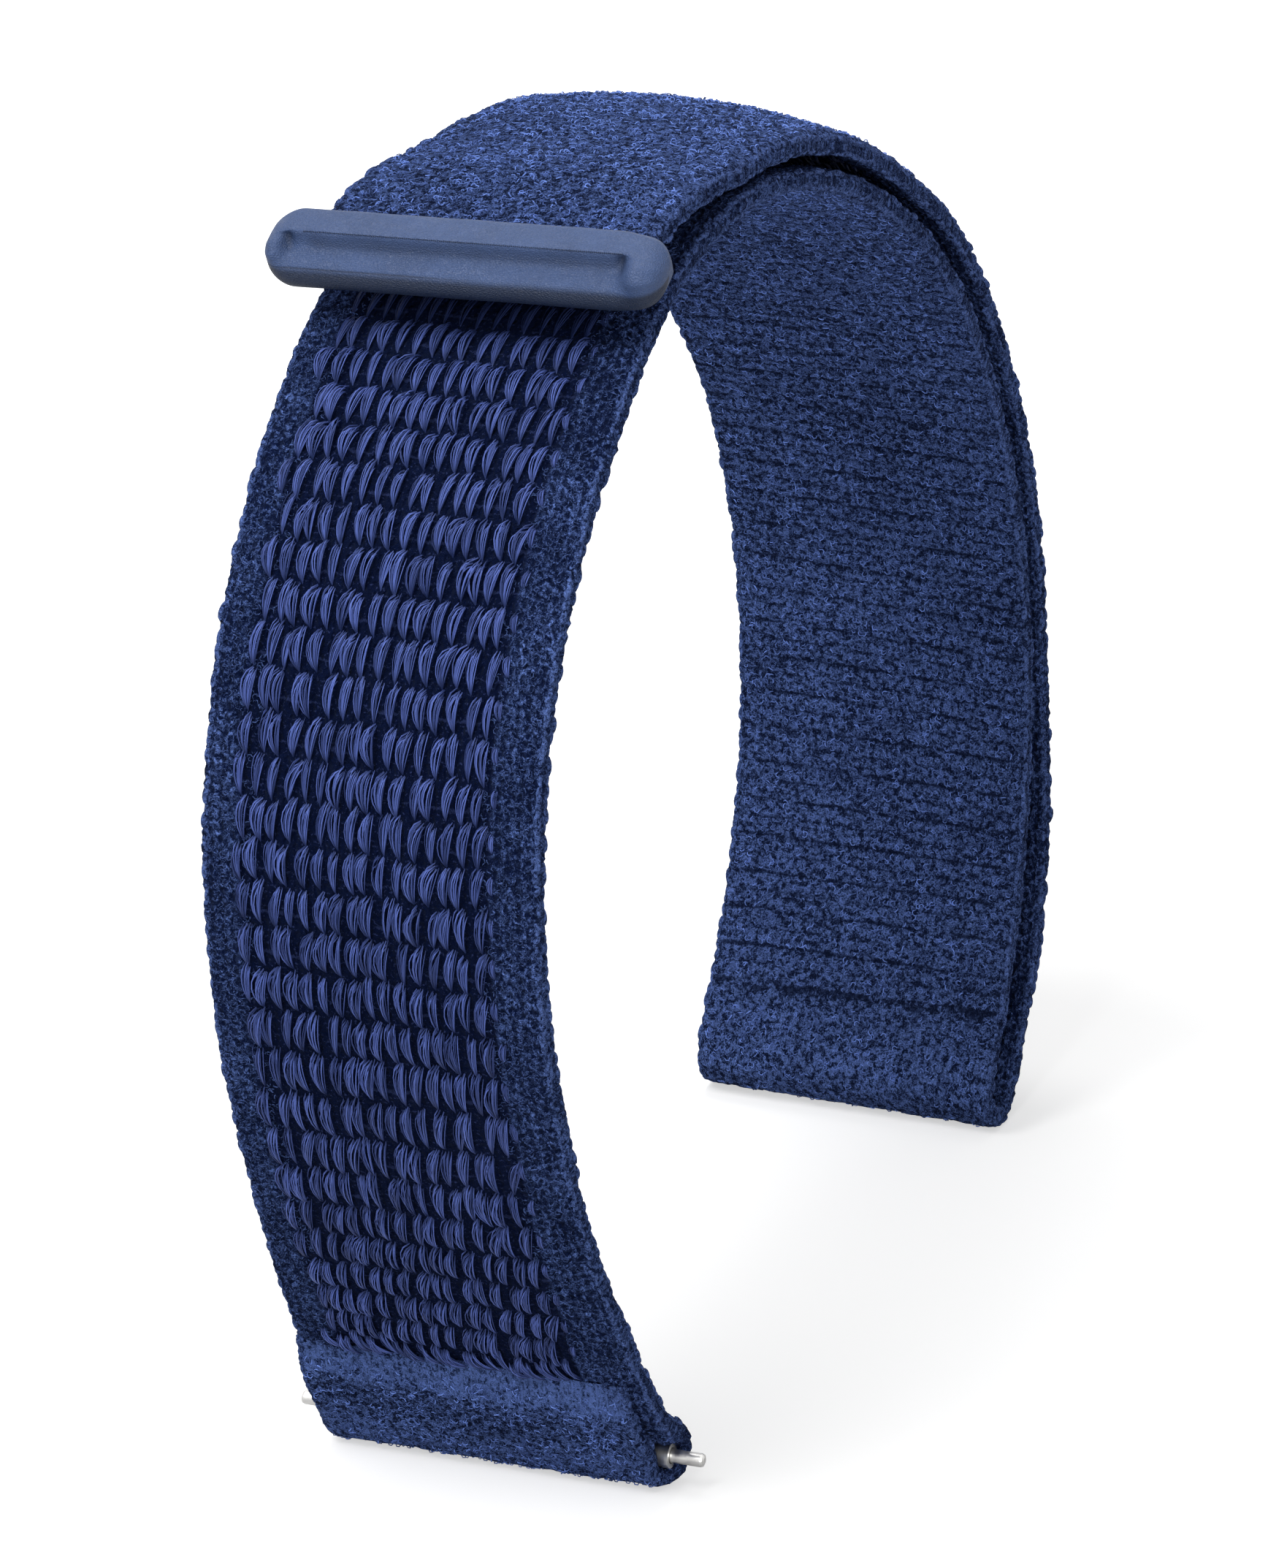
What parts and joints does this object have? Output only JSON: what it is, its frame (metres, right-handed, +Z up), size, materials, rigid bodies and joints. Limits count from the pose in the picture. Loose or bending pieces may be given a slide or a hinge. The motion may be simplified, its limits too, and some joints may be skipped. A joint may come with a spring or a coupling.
{
  "type": "fitness tracker band",
  "caption": "One-piece woven hook-and-loop wrist band with a spring bar in its hem, a folded lug loop and a moulded stop bar on its tail.",
  "frame": {"origin": "centre of the bounding box at its bottom: the ground line that the hem and the fold stand on, midway across the strap", "axes": "+X from the front leg with the hem to the back leg with the fold, +Y across the strap to its far edge, +Z up towards the crown"},
  "size_m": [0.0862, 0.0248, 0.0755],
  "materials": {
    "woven_strap": "brushed woven nylon, navy blue",
    "loop_pile": "multifilament loop pile in rows, navy blue",
    "hook_tape": "moulded micro hooks, dark navy",
    "bond_film": "thin hot-melt film",
    "moulded_bar": "matte with fine leather grain, slate blue",
    "steel": "polished stainless steel"
  },
  "bodies": {
    "strap": {"strap_web": "woven_strap", "inner_pile": "loop_pile", "outer_pile": "loop_pile"},
    "tail": {"tail_web": "woven_strap", "tail_pile": "loop_pile", "hook_patch": "hook_tape", "stop_bar_outer": "moulded_bar", "stop_bar_inner": "moulded_bar"},
    "leg": {"leg_web": "woven_strap", "leg_pile": "loop_pile", "hem_bond": "bond_film"},
    "spring_bar": {"spring_bar_tube": "steel", "pin_spring": "steel"},
    "near_pin": {"near_pin": "steel"},
    "far_pin": {"far_pin": "steel"}
  },
  "joints": [
    {"name": "tail_peel", "type": "hinge", "parent": "strap", "child": "tail", "pos_m": [0.01657, 0, 0.0667], "axis": [0, 1, 0], "range_deg": [0, 75]},
    {"name": "leg_flex", "type": "hinge", "parent": "strap", "child": "leg", "pos_m": [-0.03917, 0, 0.02777], "axis": [0, 1, 0], "range_deg": [-25, 15]},
    {"name": "bar_spin", "type": "hinge", "parent": "leg", "child": "spring_bar", "pos_m": [-0.02424, 0, 0.0019], "axis": [0, 1, 0], "continuous": true},
    {"name": "near_pin_slide", "type": "slide", "parent": "spring_bar", "child": "near_pin", "axis": [0, 1, 0], "range_m": [0, 0.0015], "stiffness_N_per_m": 400, "springref_m": -0.001, "deforming": ["pin_spring"]},
    {"name": "far_pin_slide", "type": "slide", "parent": "spring_bar", "child": "far_pin", "axis": [0, -1, 0], "range_m": [0, 0.0015], "stiffness_N_per_m": 400, "springref_m": -0.001, "deforming": ["pin_spring"]}
  ]
}
